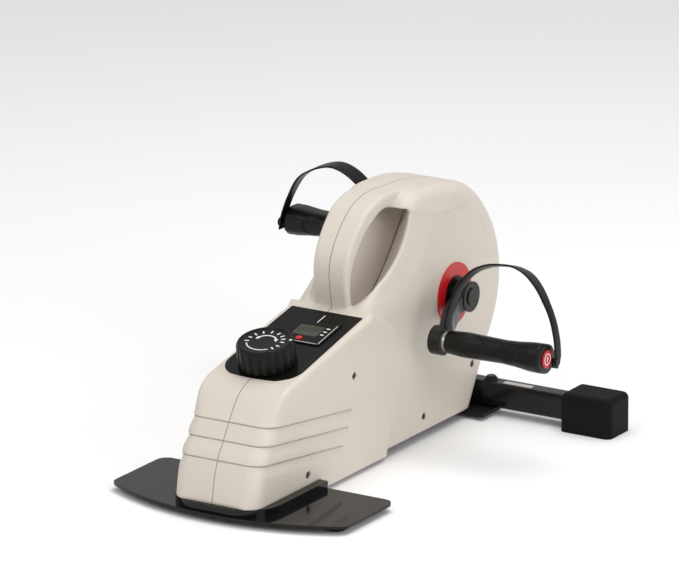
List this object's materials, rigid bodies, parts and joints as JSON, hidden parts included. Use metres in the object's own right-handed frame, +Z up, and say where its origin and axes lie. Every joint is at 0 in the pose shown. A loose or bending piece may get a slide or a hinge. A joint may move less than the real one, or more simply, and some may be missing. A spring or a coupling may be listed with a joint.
{
  "type": "pedal exerciser",
  "caption": "Under-desk magnetic pedal exerciser: carry handle, sloping console with tension knob and monitor, strapped pedals, front plate foot and rear tube stabilizer.",
  "frame": {"origin": "on the floor under the middle of the overall box; the user sits on the -Y side", "axes": "+Y points away from the user and is the length, +X is the user's right, +Z is up and is the shortest side"},
  "size_m": [0.432, 0.5167, 0.2688],
  "materials": {
    "casing_shell": "satin",
    "gloss_steel": "gloss",
    "frame_steel": "satin",
    "rubber": "matte",
    "pedal_plastic": "satin",
    "console_black": "gloss",
    "trim_red": "satin",
    "display": "satin",
    "lens": "gloss",
    "inner_plastic": "satin",
    "bright_steel": "satin",
    "wheel_iron": "satin"
  },
  "bodies": {
    "chassis": {"casing_left": "casing_shell", "casing_right": "casing_shell", "base_plate": "gloss_steel", "rear_tube": "gloss_steel", "stabilizer_bolts": "gloss_steel", "plate_bolts": "gloss_steel", "main_frame": "frame_steel", "side_plate_left": "frame_steel", "side_plate_right": "frame_steel", "plate_pad_left": "rubber", "plate_pad_right": "rubber", "end_cap_left": "rubber", "end_cap_right": "rubber", "drive_belt": "rubber", "tension_cable": "pedal_plastic", "console_panel": "console_black", "monitor_housing": "console_black", "hub_cover_left": "console_black", "hub_cover_right": "console_black", "trim_ring_left": "trim_red", "trim_ring_right": "trim_red", "lcd_module": "display", "monitor_lens": "lens", "tension_housing": "inner_plastic", "speed_sensor": "inner_plastic", "casing_screws": "bright_steel", "crank_bearing_left": "bright_steel", "crank_bearing_right": "bright_steel", "flywheel_axle": "bright_steel", "bracket_pin": "bright_steel", "return_spring": "bright_steel"},
    "crankset": {"crank_axle": "bright_steel", "drive_pulley": "inner_plastic", "sensor_magnet": "bright_steel", "crank_left": "gloss_steel", "crank_right": "gloss_steel", "crank_cap_left": "gloss_steel", "crank_cap_right": "gloss_steel", "pedal_spindle_left": "bright_steel", "pedal_spindle_right": "bright_steel"},
    "pedal_right_unit": {"pedal_right": "pedal_plastic", "pedal_badge_right": "trim_red", "strap_peg_right": "pedal_plastic", "pedal_strap_right": "rubber"},
    "pedal_left_unit": {"pedal_left": "pedal_plastic", "pedal_badge_left": "trim_red", "strap_peg_left": "pedal_plastic", "pedal_strap_left": "rubber"},
    "flywheel_unit": {"flywheel": "wheel_iron", "flywheel_pulley": "inner_plastic", "flywheel_bearings": "bright_steel"},
    "knob_unit": {"tension_knob": "console_black", "knob_cap": "console_black", "knob_shaft": "bright_steel"},
    "brake_unit": {"magnet_bracket": "frame_steel", "brake_magnets": "bright_steel"},
    "button_unit": {"monitor_button": "trim_red"}
  },
  "joints": [
    {"name": "crank_spin", "type": "hinge", "parent": "chassis", "child": "crankset", "pos_m": [0, 0.14315, 0.1426], "axis": [1, 0, 0], "continuous": true},
    {"name": "pedal_right_spin", "type": "hinge", "parent": "crankset", "child": "pedal_right_unit", "pos_m": [0.1487, 0.05708, 0.12034], "axis": [1, 0, 0], "continuous": true},
    {"name": "pedal_left_spin", "type": "hinge", "parent": "crankset", "child": "pedal_left_unit", "pos_m": [-0.1487, 0.22922, 0.16486], "axis": [1, 0, 0], "continuous": true},
    {"name": "flywheel_spin", "type": "hinge", "parent": "chassis", "child": "flywheel_unit", "pos_m": [0.015, 0.005, 0.078], "axis": [1, 0, 0], "continuous": true},
    {"name": "knob_turn", "type": "hinge", "parent": "chassis", "child": "knob_unit", "pos_m": [0, -0.145, 0.13583], "axis": [0, -0.2149, 0.9766], "range_deg": [0, 270]},
    {"name": "brake_swing", "type": "hinge", "parent": "chassis", "child": "brake_unit", "pos_m": [0.015, -0.01972, 0.13919], "axis": [-1, 0, 0], "range_deg": [0, 8]},
    {"name": "button_press", "type": "slide", "parent": "chassis", "child": "button_unit", "axis": [0, 0.2149, -0.9766], "range_m": [0, 0.0012], "stiffness_N_per_m": 400}
  ],
  "couplings": [
    {"joint": "pedal_right_spin", "follows": "crank_spin", "ratio": -1},
    {"joint": "pedal_left_spin", "follows": "crank_spin", "ratio": -1},
    {"joint": "flywheel_spin", "follows": "crank_spin", "ratio": 5.0769},
    {"joint": "brake_swing", "follows": "knob_turn", "ratio": 0.029}
  ]
}
